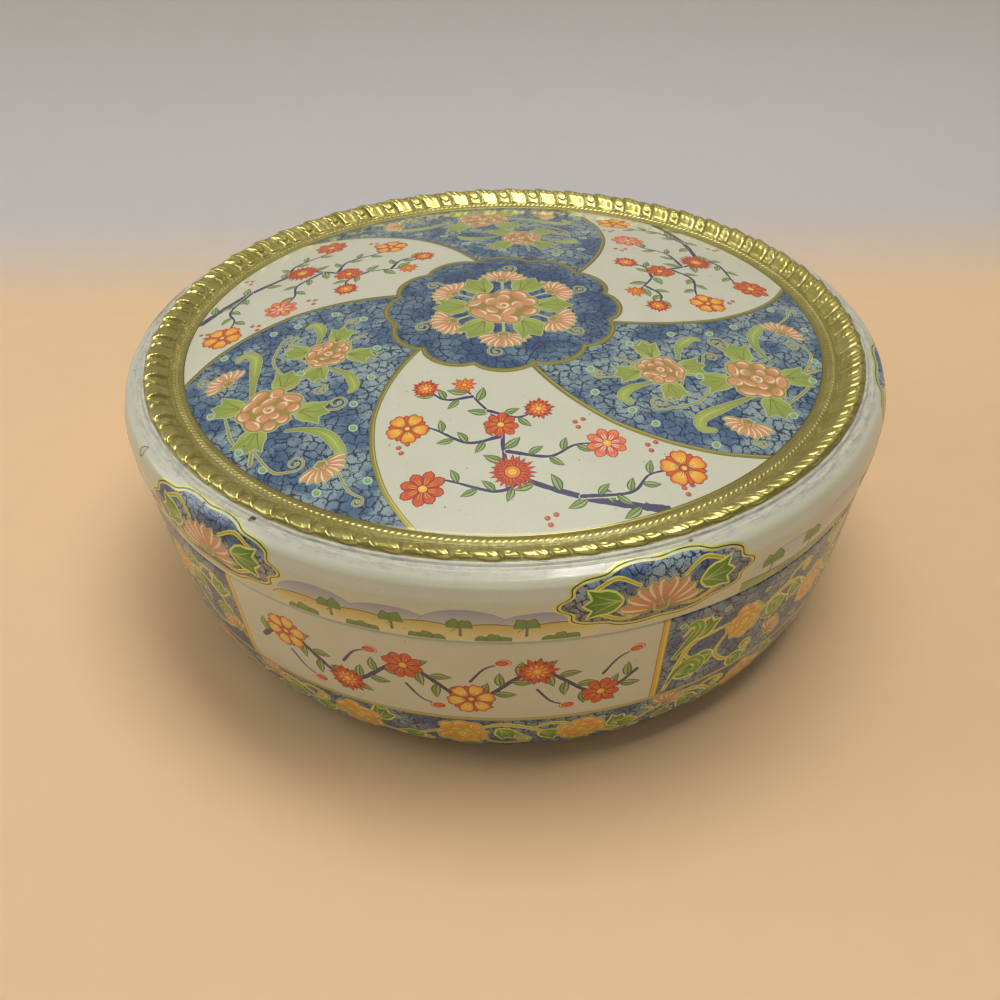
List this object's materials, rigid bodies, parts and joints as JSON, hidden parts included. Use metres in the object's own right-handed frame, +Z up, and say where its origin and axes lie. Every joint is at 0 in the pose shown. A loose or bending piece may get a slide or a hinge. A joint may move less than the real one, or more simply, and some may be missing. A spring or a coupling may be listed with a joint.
{
  "type": "cookie tin",
  "caption": "Low round tinplate cookie tin with a domed slip lid, an embossed gilt ring round its top, and blue, gold and cream floral panels.",
  "frame": {"origin": "centre of the circle the tin stands on, in the plane of its foot", "axes": "+Z up along the tin's axis, towards the lid; +X to the right and -Y to the front, with the body's side seam at the back"},
  "size_m": [0.2502, 0.2502, 0.094],
  "materials": {
    "printed_tinplate": "gloss lacquer over a printed floral pattern, gold-lacquered ring",
    "printed_wall": "gloss lacquer over a printed floral pattern, bare tinplate inside",
    "base_tinplate": "gold-lacquered tinplate"
  },
  "bodies": {
    "tin_body": {"body_wall": "printed_wall", "base_plate": "base_tinplate"},
    "lid": {"lid_pressing": "printed_tinplate"}
  },
  "joints": [
    {"name": "lid_lift", "type": "slide", "parent": "tin_body", "child": "lid", "axis": [0, 0, 1], "range_m": [0, 0.12]}
  ]
}
